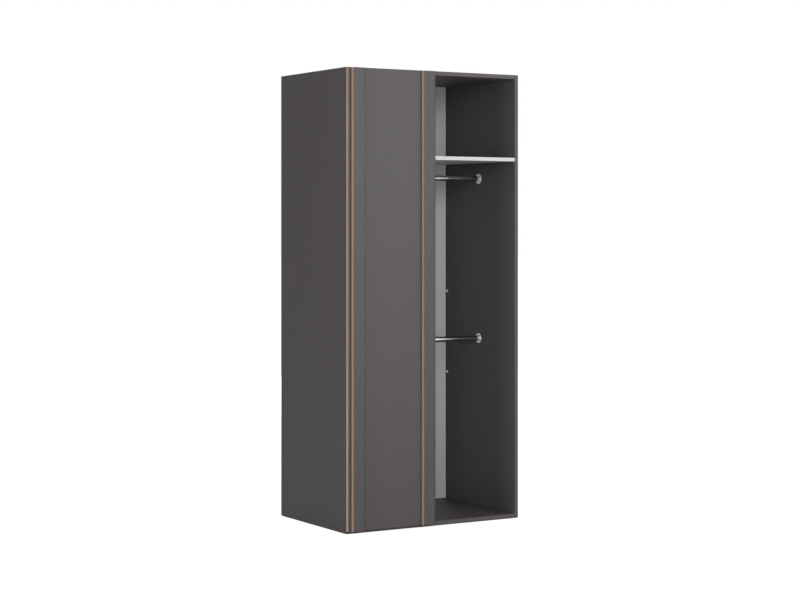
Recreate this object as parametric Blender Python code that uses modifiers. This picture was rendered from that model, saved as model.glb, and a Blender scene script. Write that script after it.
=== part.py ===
"""Corner wardrobe: an open carcass with a shelf and two clothes rods, and one door on concealed hinges.

Metres, +Z up. The origin lies on the floor under the middle of the wardrobe, and the front faces -Y.
"""

from math import atan2, cos, hypot, pi, radians, sin

import bmesh
import bpy
from mathutils import Matrix, Vector

# Overall sizes
WIDTH = 0.890
HEIGHT = 2.000
CARCASS_DEPTH = 0.606

# Boards and sheets
BOARD = 0.018
SHELF_BOARD = 0.016
BACK_SHEET = 0.003
BACK_INSET = 0.021
GROOVE_DEPTH = 0.008
GROOVE_PLAY = 0.0003
EDGE_RADIUS = 0.0005
FIT = 0.0003
EDGE_BAND = 0.0008
DOOR_BAND = 0.0004
GLUE = 0.0002

# Door
DOOR_WIDTH = 0.438
DOOR_BOARD = 0.018
DOOR_GAP = 0.002
DOOR_BOTTOM = 0.012
DOOR_TOP_GAP = 0.003
LATH_WIDTH = 0.054
LATH_THICKNESS = 0.018
LATH_INSET = 0.0155

# Joint strip between the two back sheets
STRIP_WIDTH = 0.022
STRIP_WALL = 0.0012

# Shelf and clothes rods
SHELF_TOP = 1.6265
SHELF_REAR_GAP = 0.0020
ROD_DIAMETER = 0.025
ROD_WALL = 0.0012
ROD_BEFORE_MIDDLE = 0.008
UPPER_ROD_HEIGHT = 1.538
LOWER_ROD_HEIGHT = 0.798
FLANGE_DIAMETER = 0.046
FLANGE_PLATE = 0.003
SOCKET_DIAMETER = 0.032
SOCKET_DEPTH = 0.012
ROD_PLAY = 0.0003
ROD_SCREW_CIRCLE = 0.0195
ROD_SCREWS_PER_FLANGE = 3

# Pins near the back corners
CORNER_PIN_BEFORE_BACK = 0.017
CORNER_PIN_HEIGHTS = (0.625, 1.009)
CORNER_PIN_DIAMETER = 0.008
CORNER_PIN_LENGTH = 0.021
CORNER_COLLAR_DIAMETER = 0.013
CORNER_COLLAR = 0.002
CORNER_SPIGOT_DIAMETER = 0.005
CORNER_SPIGOT = 0.010

# Cams, cam bolts and dowels
CAM_DIAMETER = 0.015
CAM_PAST_BOLT = 0.0045
CAM_DISTANCE = 0.034
CAM_INSETS = (0.060, 0.076)
CAM_BOLT_DIAMETER = 0.006
CAM_BOLT_NECK = 0.0035
CAM_BOLT_THREAD = 0.011
DOWEL_DIAMETER = 0.008
DOWEL_LENGTH = 0.030
DOWEL_IN_SIDE = 0.011
DOWEL_INSETS = (0.124, 0.140)
HOLE_PLAY = 0.0004

# Glides and bumpers
GLIDE_HEIGHT = 0.002
GLIDE_DIAMETER = 0.014
GLIDE_NAIL_DIAMETER = 0.002
GLIDE_NAIL_LENGTH = 0.012
GLIDE_INSETS = (0.045, 0.046)
BUMPER_DIAMETER = 0.008
BUMPER_FROM_DOOR_EDGE = 0.012

# Screws
SCREW_SHANK_DIAMETER = 0.003
SCREW_LENGTH = 0.012

# Door hinges: how many, how far the end ones sit from the ends of the door, and how far the door opens
HINGE_COUNT = 4
HINGE_FROM_END = 0.100
DOOR_OPENS = radians(95)

# Hinge pivots in plan: (right of the side panel's inner face, behind the carcass front), door closed.
# A ratio is the turn of a link for each turn of the door, and below zero it turns against the door.
INNER_ARM_PIVOT = (0.0161, 0.0160)
INNER_CUP_PIVOT = (-0.0087, -0.0030)
INNER_LINK_BEND = (-0.0020, -0.0070)
INNER_LINK_RATIO = -0.293
OUTER_ARM_PIVOT = (0.0220, 0.0034)
OUTER_CUP_PIVOT = (-0.0062, -0.0085)
OUTER_LINK_BEND = (0.0010, -0.0115)
OUTER_LINK_RATIO = -0.132

# Hinge cup
CUP_CENTRE = 0.0045
CUP_DIAMETER = 0.035
CUP_WALL = 0.0010
CUP_DEPTH = 0.0128
CUP_RIM = 0.0009
CUP_RIM_WIDTH = 0.0015
CUP_EAR = 0.0007
CUP_EAR_REACH = 0.0095
CUP_EAR_SPACING = 0.045
CUP_EAR_RADIUS = 0.0065

# Hinge links and pins
PIN_DIAMETER = 0.002
PIN_PLAY = 0.00012
LINK_EYE_RADIUS = 0.0021
LINK_HALF_WIDTH = 0.0017
LINK_GAP = 0.0004
INNER_LINK_HEIGHT = 0.008
LINK_CHEEK = 0.0012
SLOT_WALL = 0.0007
PIN_HEAD = 0.0006

# Hinge arm and mounting plate
ARM_CHEEK = 0.0012
ARM_EYE_RADIUS = 0.0032
ARM_FLOOR = 0.0102
ARM_LENGTH = 0.060
ARM_STEP = (0.0192, 0.0238)
ARM_STEP_REAR = 0.034
ARM_NOSE = 0.0252
ARM_NOSE_REAR = 0.0078
PLATE_WING = 0.0025
PLATE_FRONT = 0.030
PLATE_SCREW_SETBACK = 0.037
PLATE_SCREW_SPACING = 0.032
PLATE_WING_RADIUS = 0.0065
ADJUSTER_SETBACKS = (0.042, 0.053)
ADJUSTER_LENGTH = 0.008

# Roundness of turned pieces
FINE = 18
MEDIUM = 12
COARSE = 8

# Places that follow from the sizes
LEFT = -WIDTH / 2
RIGHT = WIDTH / 2
INNER_LEFT = LEFT + BOARD
INNER_RIGHT = RIGHT - BOARD
DEPTH = CARCASS_DEPTH + DOOR_GAP + DOOR_BOARD + LATH_THICKNESS
REAR = DEPTH / 2
FRONT = REAR - CARCASS_DEPTH
DOOR_BACK = FRONT - DOOR_GAP
DOOR_FACE = DOOR_BACK - DOOR_BOARD
LATH_FACE = DOOR_FACE - LATH_THICKNESS
DOOR_RIGHT = LEFT + DOOR_WIDTH
DOOR_TOP = HEIGHT - DOOR_TOP_GAP
UNDERSIDE = GLIDE_HEIGHT
BOTTOM_TOP = UNDERSIDE + BOARD
TOP_UNDERSIDE = HEIGHT - BOARD
SHELF_UNDERSIDE = SHELF_TOP - SHELF_BOARD
BACK_FRONT = REAR - BACK_INSET
BACK_REAR = BACK_FRONT + BACK_SHEET
SHELF_REAR = BACK_FRONT - SHELF_REAR_GAP
ROD_MIDDLE = FRONT + CARCASS_DEPTH / 2 - ROD_BEFORE_MIDDLE
CORNER_PIN_MIDDLE = BACK_FRONT - CORNER_PIN_BEFORE_BACK

# Finishes: a colour in 8-bit screen values, a roughness and how metallic it is
FINISHES = {
    "graphite": ((92, 88, 89), 0.45, 0.0),
    "copper": ((166, 132, 110), 0.35, 0.9),
    "back_white": ((214, 212, 210), 0.60, 0.0),
    "edge_white": ((222, 220, 218), 0.50, 0.0),
    "shelf_white": ((212, 210, 208), 0.50, 0.0),
    "chrome": ((200, 200, 203), 0.12, 1.0),
    "nickel": ((176, 174, 170), 0.28, 1.0),
    "clear_rubber": ((198, 200, 202), 0.40, 0.0),
    "grey_plastic": ((96, 96, 98), 0.50, 0.0),
}

for old in list(bpy.data.objects):
    bpy.data.objects.remove(old, do_unlink=True)

PARTS = bpy.data.collections.new("corner_wardrobe")
CUTTERS = bpy.data.collections.new("cutters")
bpy.context.scene.collection.children.link(PARTS)
bpy.context.scene.collection.children.link(CUTTERS)


def linear(value):
    """Turns an 8-bit screen value into scene light."""
    share = value / 255
    return share / 12.92 if share <= 0.04045 else ((share + 0.055) / 1.055) ** 2.4


def finish(name, piece):
    """Makes one piece its own material from a named finish."""
    colour, roughness, metallic = FINISHES[name]
    material = bpy.data.materials.new(f"{piece}_{name}")
    material.use_nodes = True
    shader = material.node_tree.nodes["Principled BSDF"]
    shader.inputs["Base Color"].default_value = [linear(part) for part in colour] + [1.0]
    shader.inputs["Roughness"].default_value = roughness
    shader.inputs["Metallic"].default_value = metallic
    return material


def add_piece(name, mesh, finish_name, smooth=False):
    """Puts a finished mesh among the parts."""
    mesh.name = name
    if smooth:
        mesh.shade_smooth()
        mesh.set_sharp_from_angle(angle=radians(35))
    piece = bpy.data.objects.new(name, mesh)
    piece.data.materials.append(finish(finish_name, name))
    PARTS.objects.link(piece)
    return piece


def mesh_from(shape):
    """Ends a bmesh and returns it as a mesh."""
    mesh = bpy.data.meshes.new("shape")
    shape.to_mesh(mesh)
    shape.free()
    return mesh


def add_block(shape, low, high):
    """Adds a box between two corners."""
    low = Vector(low)
    size = Vector(high) - low
    place = Matrix.Translation(low + size / 2) @ Matrix.Diagonal((*size, 1.0))
    bmesh.ops.create_cube(shape, size=1.0, matrix=place)


def add_rod(shape, start, end, radius, sides):
    """Adds a cylinder from one point to another."""
    start = Vector(start)
    run = Vector(end) - start
    turn = run.to_track_quat("Z", "Y").to_matrix().to_4x4()
    place = Matrix.Translation(start + run / 2) @ turn
    bmesh.ops.create_cone(shape, cap_ends=True, segments=sides, radius1=radius, radius2=radius,
                          depth=run.length, matrix=place)


def block_mesh(low, high):
    """A box as a mesh of its own."""
    shape = bmesh.new()
    add_block(shape, low, high)
    return mesh_from(shape)


def board(name, low, high, finish_name, radius=EDGE_RADIUS):
    """A board with its arrises eased."""
    centre = (Vector(low) + Vector(high)) / 2
    mesh = block_mesh(Vector(low) - centre, Vector(high) - centre)
    piece = add_piece(name, mesh, finish_name)
    piece.location = centre
    if radius:
        ease = piece.modifiers.new("eased_edges", "BEVEL")
        ease.width = radius
        ease.segments = 1
    return piece


def add_cutter(name, mesh):
    """Keeps a mesh as a hidden cutter."""
    cutter = bpy.data.objects.new(name, mesh)
    cutter.hide_render = True
    cutter.display_type = "WIRE"
    CUTTERS.objects.link(cutter)
    return cutter


def cut(piece, mesh, label="cut", operation="DIFFERENCE"):
    """Takes a mesh out of a piece, or joins it on."""
    step = piece.modifiers.new(label, "BOOLEAN")
    step.operation = operation
    step.solver = "EXACT"
    step.object = add_cutter(f"{piece.name}_{label}", mesh)


def baked(mesh, steps, merged=False):
    """The mesh after some Boolean steps, with flat faces merged again where this is asked."""
    holder = bpy.data.objects.new("holder", mesh)
    CUTTERS.objects.link(holder)
    tools = []
    for operation, tool_mesh in steps:
        tool = bpy.data.objects.new("tool", tool_mesh)
        CUTTERS.objects.link(tool)
        tools.append(tool)
        step = holder.modifiers.new("step", "BOOLEAN")
        step.operation = operation
        step.solver = "EXACT"
        step.object = tool
    result = bpy.data.meshes.new_from_object(holder.evaluated_get(fresh_graph()))
    for used in [holder, *tools]:
        bpy.data.objects.remove(used, do_unlink=True)
    if merged:
        shape = bmesh.new()
        shape.from_mesh(result)
        bmesh.ops.dissolve_limit(shape, angle_limit=radians(0.2), verts=shape.verts, edges=shape.edges)
        result = mesh_from(shape)
    return result


def fresh_graph():
    """The dependency graph after the latest changes."""
    bpy.context.view_layer.update()
    return bpy.context.evaluated_depsgraph_get()


def turned_mesh(profile, sides, closed=False):
    """Turns a profile of (radius, height) about +Z. The profile runs down the outer side."""
    mesh = bpy.data.meshes.new("profile")
    edges = [(index, index + 1) for index in range(len(profile) - 1)]
    if closed:
        edges.append((len(profile) - 1, 0))
    mesh.from_pydata([(radius, 0.0, height) for radius, height in profile], edges, [])
    holder = bpy.data.objects.new("turned", mesh)
    CUTTERS.objects.link(holder)
    turn = holder.modifiers.new("turn", "SCREW")
    turn.steps = sides
    turn.render_steps = sides
    turn.use_merge_vertices = True
    turn.merge_threshold = 0.000001
    result = bpy.data.meshes.new_from_object(holder.evaluated_get(fresh_graph()))
    bpy.data.objects.remove(holder, do_unlink=True)
    return result


def outline_mesh(loops, low, high):
    """A flat plate with its loops in plan, the first one outside and the others holes."""
    curve = bpy.data.curves.new("outline", "CURVE")
    curve.dimensions = "2D"
    curve.fill_mode = "BOTH"
    curve.extrude = (high - low) / 2
    for loop in loops:
        spline = curve.splines.new("POLY")
        spline.points.add(len(loop) - 1)
        for point, (across, back) in zip(spline.points, loop):
            point.co = (across, back, 0.0, 1.0)
        spline.use_cyclic_u = True
    holder = bpy.data.objects.new("outline", curve)
    CUTTERS.objects.link(holder)
    result = bpy.data.meshes.new_from_object(holder.evaluated_get(fresh_graph()))
    bpy.data.objects.remove(holder, do_unlink=True)
    shape = bmesh.new()
    shape.from_mesh(result)
    bmesh.ops.remove_doubles(shape, verts=shape.verts, dist=0.000002)
    bmesh.ops.translate(shape, verts=shape.verts, vec=(0.0, 0.0, (low + high) / 2))
    bmesh.ops.recalc_face_normals(shape, faces=shape.faces)
    return mesh_from(shape)


def copies_mesh(mesh, places):
    """One mesh that holds a copy of another at each place."""
    shape = bmesh.new()
    for place in places:
        copy = mesh.copy()
        copy.transform(place)
        shape.from_mesh(copy)
    return mesh_from(shape)


def rods_mesh(rods, sides):
    """Several cylinders, each as (start, end, radius)."""
    shape = bmesh.new()
    for start, end, radius in rods:
        add_rod(shape, start, end, radius, sides)
    return mesh_from(shape)


def facing(point, direction):
    """A place at a point whose local +Z looks along a direction."""
    turn = Vector(direction).to_track_quat("Z", "Y").to_matrix().to_4x4()
    return Matrix.Translation(point) @ turn


def ring(centre, radius, sides):
    """Points on a circle in plan."""
    return [(centre[0] + radius * cos(2 * pi * step / sides),
             centre[1] + radius * sin(2 * pi * step / sides)) for step in range(sides)]


# What holds each board to the sides: its name, its thickness, the height of its middle, and the side
# of it that the cams are let into (1 from above, -1 from below).
JOINED_BOARDS = (
    ("top_panel", BOARD, HEIGHT - BOARD / 2, 1),
    ("bottom_panel", BOARD, UNDERSIDE + BOARD / 2, -1),
    ("shelf", SHELF_BOARD, SHELF_TOP - SHELF_BOARD / 2, -1),
)
SIDES = (("left", -1), ("right", 1))
OVERCUT = 0.002


def wall_x(sign):
    """The inner face of a side panel."""
    return sign * (WIDTH / 2 - BOARD)


def rows(insets):
    """The two rows, in depth, that lie this far in from the carcass's front edge and from its rear edge."""
    return (FRONT + insets[0], REAR - insets[1])


def hinge_heights():
    """Heights of the hinges, evenly spaced between the end ones."""
    low = DOOR_BOTTOM + HINGE_FROM_END
    high = DOOR_TOP - HINGE_FROM_END
    return [low + (high - low) * index / (HINGE_COUNT - 1) for index in range(HINGE_COUNT)]


def rod_heights():
    """Names and heights of the two clothes rods."""
    return (("upper", UPPER_ROD_HEIGHT), ("lower", LOWER_ROD_HEIGHT))


def rod_screw_places(sign):
    """Places of the screws that hold the rod flanges, looking away from a side panel."""
    places = []
    seat = wall_x(sign) - sign * (2 * FIT + FLANGE_PLATE)
    for _, height in rod_heights():
        for index in range(ROD_SCREWS_PER_FLANGE):
            angle = pi / 2 + 2 * pi * index / ROD_SCREWS_PER_FLANGE
            point = (seat, ROD_MIDDLE + ROD_SCREW_CIRCLE * cos(angle),
                     height + ROD_SCREW_CIRCLE * sin(angle))
            places.append(facing(point, (-sign, 0, 0)))
    return places


def hole_for(place, length, radius):
    """A rod that clears a screw: its place looks out of the hole, which is this long."""
    start = place @ Vector((0, 0, OVERCUT))
    end = place @ Vector((0, 0, -length))
    return (start, end, radius)


def glide_places():
    """Where the glides sit: under both side panels and under the middle of the bottom panel."""
    columns = (-(WIDTH - BOARD) / 2, 0.0, (WIDTH - BOARD) / 2)
    return [(across, back, 0.0) for across in columns for back in rows(GLIDE_INSETS)]


def cam_bolt_mesh():
    """A cam bolt: the end in the side panel below zero, its shank, neck and head above."""
    radius = CAM_BOLT_DIAMETER / 2
    neck = CAM_BOLT_NECK / 2
    end = CAM_DISTANCE
    head = end - radius
    shoulder = end - CAM_DIAMETER / 2
    profile = [(0, end), (radius, end), (radius, head), (neck, head), (neck, shoulder), (radius, shoulder),
               (radius, -CAM_BOLT_THREAD), (0, -CAM_BOLT_THREAD)]
    return turned_mesh(profile, COARSE)


def side_panel(name, sign):
    """A full-height side with its groove, and the holes for the joinery and for what is screwed to it."""
    wall = wall_x(sign)
    outer = sign * WIDTH / 2
    panel = board(name, (min(wall, outer), FRONT, UNDERSIDE), (max(wall, outer), REAR, HEIGHT), "graphite")
    tools = bmesh.new()
    groove_end = wall + sign * GROOVE_DEPTH
    mouth = wall - sign * OVERCUT
    add_block(tools, (min(mouth, groove_end), BACK_FRONT - GROOVE_PLAY, UNDERSIDE - OVERCUT),
              (max(mouth, groove_end), BACK_REAR + GROOVE_PLAY, HEIGHT + OVERCUT))
    sockets = [(CORNER_PIN_MIDDLE, height, CORNER_SPIGOT, CORNER_SPIGOT_DIAMETER)
               for height in CORNER_PIN_HEIGHTS]
    for _, _, height, _ in JOINED_BOARDS:
        sockets += [(back, height, CAM_BOLT_THREAD, CAM_BOLT_DIAMETER) for back in rows(CAM_INSETS)]
        sockets += [(back, height, DOWEL_IN_SIDE, DOWEL_DIAMETER) for back in rows(DOWEL_INSETS)]
    for back, height, depth, diameter in sockets:
        add_rod(tools, (mouth, back, height), (wall + sign * (depth + FIT), back, height),
                diameter / 2 + HOLE_PLAY, COARSE)
    screw_hole = SCREW_SHANK_DIAMETER / 2 + HOLE_PLAY
    screws = rod_screw_places(sign) + (plate_screw_places() if sign < 0 else [])
    for place in screws:
        add_rod(tools, *hole_for(place, SCREW_LENGTH + FIT, screw_hole), COARSE)
    nail_holes(tools, [place for place in glide_places() if place[0] * sign > 0])
    cut(panel, mesh_from(tools), "housings")


def nail_holes(tools, places):
    """Adds the holes for the nails of the glides at these places."""
    for across, back, _ in places:
        add_rod(tools, (across, back, UNDERSIDE - OVERCUT), (across, back, UNDERSIDE + GLIDE_NAIL_LENGTH),
                GLIDE_NAIL_DIAMETER / 2 + HOLE_PLAY, COARSE)


def cross_board(name, thickness, middle, cam_side, front, rear, grooved, finish_name="graphite"):
    """A board between the sides, with its groove, its cam housings, and its cam bolts and dowels."""
    low = middle - thickness / 2
    high = middle + thickness / 2
    piece = board(name, (INNER_LEFT + FIT, front, low), (INNER_RIGHT - FIT, rear, high), finish_name)
    tools = bmesh.new()
    face = high if cam_side > 0 else low
    if grooved:
        inner_face = low if cam_side > 0 else high
        groove_end = inner_face + cam_side * GROOVE_DEPTH
        mouth = inner_face - cam_side * OVERCUT
        add_block(tools, (LEFT, BACK_FRONT - GROOVE_PLAY, min(mouth, groove_end)),
                  (RIGHT, BACK_REAR + GROOVE_PLAY, max(mouth, groove_end)))
    for _, sign in SIDES:
        centre = wall_x(sign) - sign * CAM_DISTANCE
        for back in rows(CAM_INSETS):
            add_rod(tools, (centre, back, face + cam_side * OVERCUT),
                    (centre, back, middle - cam_side * (CAM_PAST_BOLT + FIT)),
                    CAM_DIAMETER / 2 + HOLE_PLAY, MEDIUM)
    if name == "bottom_panel":
        nail_holes(tools, [place for place in glide_places() if place[0] == 0.0])
    cut(piece, mesh_from(tools), "housings")
    bolts = [facing((wall_x(sign), back, middle), (-sign, 0, 0))
             for _, sign in SIDES for back in rows(CAM_INSETS)]
    cut(piece, copies_mesh(cam_bolt_mesh(), bolts), "cam_bolts", "UNION")
    dowels = [((wall_x(sign) + sign * DOWEL_IN_SIDE, back, middle),
               (wall_x(sign) - sign * (DOWEL_LENGTH - DOWEL_IN_SIDE), back, middle),
               DOWEL_DIAMETER / 2) for _, sign in SIDES for back in rows(DOWEL_INSETS)]
    cut(piece, rods_mesh(dowels, COARSE), "dowels", "UNION")


def build_carcass():
    """Both sides, the top, the bottom, and the white shelf with its edge band."""
    side_panel("left_side_panel", -1)
    side_panel("right_side_panel", 1)
    for name, thickness, middle, cam_side in JOINED_BOARDS[:2]:
        cross_board(name, thickness, middle, cam_side, FRONT, REAR, True)
    name, thickness, middle, cam_side = JOINED_BOARDS[2]
    front = FRONT + EDGE_BAND + GLUE
    cross_board(name, thickness, middle, cam_side, front, SHELF_REAR, False, "shelf_white")
    add_piece("shelf_edge_band", block_mesh((INNER_LEFT + FIT, FRONT, SHELF_UNDERSIDE),
                                            (INNER_RIGHT - FIT, FRONT + EDGE_BAND, SHELF_TOP)), "edge_white")


def build_back():
    """Two sheets in the grooves, and the joint strip that holds their inner edges."""
    low = BOTTOM_TOP - GROOVE_DEPTH + 2 * FIT
    high = TOP_UNDERSIDE + GROOVE_DEPTH - 2 * FIT
    for side, sign in SIDES:
        outer = wall_x(sign) + sign * (GROOVE_DEPTH - 2 * FIT)
        inner = sign * (STRIP_WALL / 2 + FIT)
        add_piece(f"back_panel_{side}", block_mesh((min(outer, inner), BACK_FRONT, low),
                                                   (max(outer, inner), BACK_REAR, high)), "back_white")
    half = STRIP_WIDTH / 2
    web = STRIP_WALL / 2
    lips = (BACK_FRONT - FIT - STRIP_WALL, BACK_FRONT - FIT, BACK_REAR + FIT, BACK_REAR + FIT + STRIP_WALL)
    outline = [(-half, lips[0]), (half, lips[0]), (half, lips[1]), (web, lips[1]), (web, lips[2]),
               (half, lips[2]), (half, lips[3]), (-half, lips[3]), (-half, lips[2]), (-web, lips[2]),
               (-web, lips[1]), (-half, lips[1])]
    strip = outline_mesh([outline], BOTTOM_TOP + FIT, TOP_UNDERSIDE - FIT)
    add_piece("back_joint_strip", strip, "back_white")


def build_rods():
    """Two clothes rods in screwed flanges."""
    bore = ROD_DIAMETER / 2 + ROD_PLAY
    floor = FLANGE_PLATE / 2
    edge = FLANGE_DIAMETER / 2
    lip = FLANGE_PLATE / 3
    profile = [(0, floor), (bore, floor), (bore, SOCKET_DEPTH), (SOCKET_DIAMETER / 2, SOCKET_DEPTH),
               (SOCKET_DIAMETER / 2, FLANGE_PLATE), (edge - lip, FLANGE_PLATE), (edge, FLANGE_PLATE - lip),
               (edge, 0), (0, 0)]
    flange = turned_mesh(profile, FINE)
    hole = SCREW_SHANK_DIAMETER / 2 + HOLE_PLAY
    half = (WIDTH / 2 - BOARD) - floor - 2 * FIT
    tube = turned_mesh([(ROD_DIAMETER / 2, half), (ROD_DIAMETER / 2, -half),
                        (ROD_DIAMETER / 2 - ROD_WALL, -half), (ROD_DIAMETER / 2 - ROD_WALL, half)],
                       FINE, closed=True)
    for level, height in rod_heights():
        rod = add_piece(f"{level}_clothes_rod", tube.copy(), "chrome", True)
        rod.rotation_euler = (0, pi / 2, 0)
        rod.location = (0, ROD_MIDDLE, height)
        for side, sign in SIDES:
            seat = (wall_x(sign) - sign * FIT, ROD_MIDDLE, height)
            mesh = flange.copy()
            mesh.transform(facing(seat, (-sign, 0, 0)))
            piece = add_piece(f"{level}_rod_flange_{side}", mesh, "chrome", True)
            near = [place for place in rod_screw_places(sign)
                    if abs(place.translation.z - height) < FLANGE_DIAMETER]
            holes = [hole_for(place, FLANGE_PLATE + OVERCUT, hole) for place in near]
            cut(piece, rods_mesh(holes, COARSE), "screw_holes")


def build_corner_pins():
    """Pins with a collar on the side panels, just in front of the back."""
    radius = CORNER_PIN_DIAMETER / 2
    spigot = CORNER_SPIGOT_DIAMETER / 2
    collar = CORNER_COLLAR_DIAMETER / 2
    profile = [(0, CORNER_PIN_LENGTH), (radius * 0.85, CORNER_PIN_LENGTH),
               (radius, CORNER_PIN_LENGTH - radius * 0.15), (radius, CORNER_COLLAR), (collar, CORNER_COLLAR),
               (collar, FIT), (spigot, FIT), (spigot, -CORNER_SPIGOT), (0, -CORNER_SPIGOT)]
    pin = turned_mesh(profile, 12)
    for side, sign in SIDES:
        for level, height in zip(("lower", "upper"), CORNER_PIN_HEIGHTS):
            mesh = pin.copy()
            mesh.transform(facing((wall_x(sign), CORNER_PIN_MIDDLE, height), (-sign, 0, 0)))
            add_piece(f"{level}_corner_pin_{side}", mesh, "nickel", True)


def build_glides():
    """Nail-on glides that the wardrobe stands on."""
    top = UNDERSIDE - FIT
    nail = GLIDE_NAIL_DIAMETER / 2
    cap = GLIDE_DIAMETER / 2
    profile = [(0, top + GLIDE_NAIL_LENGTH), (nail, top + GLIDE_NAIL_LENGTH - nail * 2), (nail, top),
               (cap, top), (cap, top / 3), (cap - top / 3, 0), (0, 0)]
    glide = turned_mesh(profile, 12)
    for number, place in enumerate(glide_places(), 1):
        piece = add_piece(f"floor_glide_{number}", glide.copy(), "grey_plastic", True)
        piece.location = place


def build_bumpers():
    """Soft dots on the front edges of the top and bottom, where the door closes."""
    across = DOOR_RIGHT - BUMPER_FROM_DOOR_EDGE
    radius = BUMPER_DIAMETER / 2
    heights = {"bottom": BOTTOM_TOP - radius - EDGE_RADIUS, "top": TOP_UNDERSIDE + radius + EDGE_RADIUS}
    for level, height in heights.items():
        dot = rods_mesh([((across, FRONT - FIT, height), (across, DOOR_BACK + FIT, height), radius)], MEDIUM)
        add_piece(f"door_bumper_{level}", dot, "clear_rubber", True)


def plate_screw_places():
    """Places of the screws that hold the hinge plates to the left side panel."""
    across = INNER_LEFT + 2 * FIT + PLATE_WING
    return [facing((across, FRONT + PLATE_SCREW_SETBACK, height + shift), (1, 0, 0))
            for height in hinge_heights() for shift in (-PLATE_SCREW_SPACING / 2, PLATE_SCREW_SPACING / 2)]


def cup_screw_places():
    """Places of the screws that hold the hinge cups to the door."""
    across = INNER_LEFT + CUP_CENTRE + CUP_EAR_REACH
    return [facing((across, DOOR_BACK + CUP_EAR + FIT, height + shift), (0, 1, 0))
            for height in hinge_heights() for shift in (-CUP_EAR_SPACING / 2, CUP_EAR_SPACING / 2)]


def turned_in_plan(point, angle, about=(0.0, 0.0)):
    """A point in plan after the door's way of turning, clockwise seen from above."""
    across = point[0] - about[0]
    back = point[1] - about[1]
    return (about[0] + across * cos(angle) + back * sin(angle),
            about[1] - across * sin(angle) + back * cos(angle))


def outer_pin_track(steps=24):
    """The way of the outer cup pin over the outer link, as the door opens."""
    track = []
    for step in range(steps + 1):
        angle = DOOR_OPENS * step / steps
        moved = turned_in_plan(INNER_CUP_PIVOT, INNER_LINK_RATIO * angle, INNER_ARM_PIVOT)
        between = (OUTER_CUP_PIVOT[0] - INNER_CUP_PIVOT[0], OUTER_CUP_PIVOT[1] - INNER_CUP_PIVOT[1])
        arm = turned_in_plan(between, angle)
        pin = (moved[0] + arm[0], moved[1] + arm[1])
        track.append(turned_in_plan(pin, -OUTER_LINK_RATIO * angle, OUTER_ARM_PIVOT))
    return track


def slot_line():
    """The middle line of the slot that clears the pin's way, and how far the pin strays to the sides."""
    track = outer_pin_track()
    first = track[0]
    last = max(track, key=lambda point: hypot(point[0] - first[0], point[1] - first[1]))
    angle = atan2(last[1] - first[1], last[0] - first[0])
    along = [(point[0] - first[0]) * cos(angle) + (point[1] - first[1]) * sin(angle) for point in track]
    aside = [(point[1] - first[1]) * cos(angle) - (point[0] - first[0]) * sin(angle) for point in track]
    middle = (max(aside) + min(aside)) / 2
    ends = [(first[0] + reach * cos(angle) - middle * sin(angle),
             first[1] + reach * sin(angle) + middle * cos(angle)) for reach in (min(along), max(along))]
    return ends, (max(aside) - min(aside)) / 2


def arc(centre, radius, start, end, steps):
    """Points on an arc from one angle to another."""
    return [(centre[0] + radius * cos(start + (end - start) * step / steps),
             centre[1] + radius * sin(start + (end - start) * step / steps)) for step in range(steps + 1)]


def capsule(first, last, radius, steps=4):
    """A slot or a pill in plan, round about two points."""
    angle = atan2(last[1] - first[1], last[0] - first[0])
    return arc(last, radius, angle - pi / 2, angle + pi / 2, steps) + \
        arc(first, radius, angle + pi / 2, angle + 3 * pi / 2, steps)


def bar_mesh(first, last, radius, low, high):
    """A flat bar with round ends."""
    return outline_mesh([capsule(first, last, radius)], low, high)


def link_mesh(arm_pivot, bend, cup_line, half_width, cup_radius, low, high):
    """A bent flat link: an eye at the arm, a bend, and an eye or a slotted end in the cup."""
    body = bar_mesh(arm_pivot, bend, half_width, low, high)
    middle = ((cup_line[0][0] + cup_line[1][0]) / 2, (cup_line[0][1] + cup_line[1][1]) / 2)
    return baked(body, [
        ("UNION", bar_mesh(bend, middle, half_width, low, high)),
        ("UNION", outline_mesh([ring(arm_pivot, LINK_EYE_RADIUS, 10)], low, high)),
        ("UNION", bar_mesh(*cup_line, cup_radius, low, high)),
    ], merged=True)


def inner_link_mesh():
    """The thick inner link, with an eye at each end."""
    half = INNER_LINK_HEIGHT / 2
    hole = PIN_DIAMETER / 2 + PIN_PLAY
    line = (INNER_CUP_PIVOT, (INNER_CUP_PIVOT[0] + 0.0000001, INNER_CUP_PIVOT[1]))
    link = link_mesh(INNER_ARM_PIVOT, INNER_LINK_BEND, line, LINK_HALF_WIDTH, LINK_EYE_RADIUS, -half, half)
    bores = [((*pivot, -half - OVERCUT), (*pivot, half + OVERCUT), hole)
             for pivot in (INNER_ARM_PIVOT, INNER_CUP_PIVOT)]
    return baked(link, [("DIFFERENCE", rods_mesh(bores, COARSE))])


def outer_link_mesh():
    """The outer link: two cheeks on a bushing, each with a slot for its cup pin."""
    inner = INNER_LINK_HEIGHT / 2 + LINK_GAP
    outer = inner + LINK_CHEEK
    hole = PIN_DIAMETER / 2 + PIN_PLAY
    line, stray = slot_line()
    cheeks = [link_mesh(OUTER_ARM_PIVOT, OUTER_LINK_BEND, line, LINK_HALF_WIDTH, hole + stray + SLOT_WALL,
                        low, high) for low, high in ((-outer, -inner), (inner, outer))]
    reach = inner + LINK_CHEEK / 2
    past = outer + OVERCUT
    pivot = OUTER_ARM_PIVOT
    bushing = rods_mesh([((*pivot, -reach), (*pivot, reach), LINK_EYE_RADIUS * 0.97)], COARSE)
    bore = rods_mesh([((*pivot, -past), (*pivot, past), hole)], COARSE)
    slot = bar_mesh(*line, hole + stray, -past, past)
    return baked(cheeks[0], [("UNION", cheeks[1]), ("UNION", bushing),
                             ("DIFFERENCE", bore), ("DIFFERENCE", slot)])


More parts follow.
